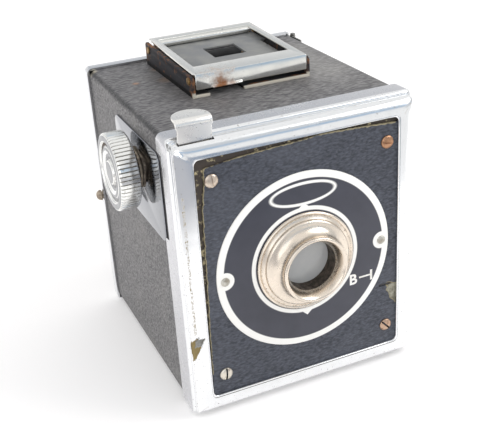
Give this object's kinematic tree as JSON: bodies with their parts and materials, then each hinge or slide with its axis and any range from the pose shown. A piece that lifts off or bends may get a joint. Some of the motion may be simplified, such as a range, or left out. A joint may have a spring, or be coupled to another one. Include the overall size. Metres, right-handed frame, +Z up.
{
  "type": "box camera",
  "caption": "Small metal box camera for square roll-film pictures: leathercloth case, plated bezel, lens hood, winding knob, folding sight on top and hinged back.",
  "frame": {"origin": "on the plane the camera stands on, under the lens axis, at the middle of the flat band of the front bezel", "axes": "+Z up, the lens looks along -Y, +X is to the right of a viewer who faces the lens; the winding knob is on -X"},
  "size_m": [0.0853, 0.0906, 0.0957],
  "materials": {
    "plated_steel": "bright plating, worn and lightly rusted",
    "nickelled_brass": "warm nickel plating over brass",
    "brass": "dull brass",
    "leathercloth": "fine-grained, matt, rubbed at the edges",
    "printed_metal": "dark enamel with a white ring print",
    "black_metal": "matt black",
    "steel": "plain steel",
    "spring_steel": "blued spring steel",
    "rusty_paint": "dark paint with rust showing through",
    "clear_glass": "clear, dusty",
    "red_glass": "deep red, clear"
  },
  "bodies": {
    "case": {"body_shell": "black_metal", "body_covering": "leathercloth", "front_bezel": "plated_steel", "front_panel": "black_metal", "front_covering": "leathercloth", "name_plate": "printed_metal", "name_plate_pins": "brass", "panel_screws": "brass", "panel_posts": "steel", "lens_hood": "nickelled_brass", "lens": "clear_glass", "lens_ring": "black_metal", "aperture_plate": "black_metal", "shutter_plate": "black_metal", "shutter_pivot": "steel", "shutter_spring": "spring_steel", "release_spring": "spring_steel", "carrier_left_plate": "black_metal", "carrier_right_plate": "black_metal", "light_cone": "black_metal", "film_gate": "black_metal", "spool_pins": "steel", "spool_springs": "spring_steel", "winder_bush": "steel", "knob_plate": "plated_steel", "hinge_leaf_case": "steel", "hinge_pin": "steel", "door_catch": "spring_steel", "finder_base": "rusty_paint", "finder_front_pin": "rusty_paint", "finder_rear_pin": "rusty_paint", "finder_spring": "spring_steel", "finder_rivets": "rusty_paint"},
    "winder_slide": {"thrust_washer": "brass"},
    "winder": {"winding_knob": "plated_steel", "winding_shaft": "steel"},
    "take_up_spool": {"spool_core": "black_metal", "spool_flange_left": "black_metal", "spool_flange_right": "black_metal"},
    "release": {"release_lever": "plated_steel"},
    "shutter": {"shutter_disc": "black_metal"},
    "selector": {"time_selector": "plated_steel"},
    "upper_roller": {"upper_roller": "steel"},
    "lower_roller": {"lower_roller": "steel"},
    "finder_frame": {"finder_frame": "plated_steel"},
    "finder_sight": {"finder_sight": "rusty_paint"},
    "back": {"back_door": "black_metal", "back_trim": "plated_steel", "back_covering": "leathercloth", "red_window": "red_glass", "window_ring": "plated_steel", "pressure_plate": "black_metal", "pressure_springs": "spring_steel", "hinge_leaf_door": "steel", "door_pull": "plated_steel"}
  },
  "joints": [
    {"name": "winder_pull", "type": "slide", "parent": "case", "child": "winder_slide", "axis": [-1, 0, 0], "range_m": [0, 0.006]},
    {"name": "winder_turn", "type": "hinge", "parent": "winder_slide", "child": "winder", "pos_m": [-0.043, 0.0238, 0.07], "axis": [-1, 0, 0], "continuous": true},
    {"name": "spool_turn", "type": "hinge", "parent": "case", "child": "take_up_spool", "pos_m": [0, 0.0238, 0.07], "axis": [-1, 0, 0], "continuous": true},
    {"name": "release_press", "type": "slide", "parent": "case", "child": "release", "axis": [0, 0, -1], "range_m": [0, 0.003], "stiffness_N_per_m": 200, "springref_m": -0.004, "deforming": ["release_spring"]},
    {"name": "shutter_turn", "type": "hinge", "parent": "case", "child": "shutter", "pos_m": [-0.01, -0.0046, 0.035], "axis": [0, -1, 0], "range_deg": [0, 80]},
    {"name": "selector_pull", "type": "slide", "parent": "case", "child": "selector", "axis": [0, -1, 0], "range_m": [0, 0.0032]},
    {"name": "upper_roller_turn", "type": "hinge", "parent": "case", "child": "upper_roller", "pos_m": [0, 0.0658, 0.0764], "axis": [1, 0, 0], "continuous": true},
    {"name": "lower_roller_turn", "type": "hinge", "parent": "case", "child": "lower_roller", "pos_m": [0, 0.0658, 0.0116], "axis": [1, 0, 0], "continuous": true},
    {"name": "frame_lift", "type": "hinge", "parent": "case", "child": "finder_frame", "pos_m": [0.00095, 0.02645, 0.09189], "axis": [1, 0, 0], "range_deg": [0, 90]},
    {"name": "sight_lift", "type": "hinge", "parent": "case", "child": "finder_sight", "pos_m": [0.00095, 0.06325, 0.09264], "axis": [1, 0, 0], "range_deg": [-90, 0]},
    {"name": "back_swing", "type": "hinge", "parent": "case", "child": "back", "pos_m": [0.038, 0.0711, 0.044], "axis": [0, 0, -1], "range_deg": [0, 105]}
  ],
  "couplings": [
    {"joint": "spool_turn", "follows": "winder_turn", "ratio": 1},
    {"joint": "shutter_turn", "follows": "release_press", "rad_per_m": 465.42},
    {"joint": "sight_lift", "follows": "frame_lift", "ratio": -1}
  ]
}
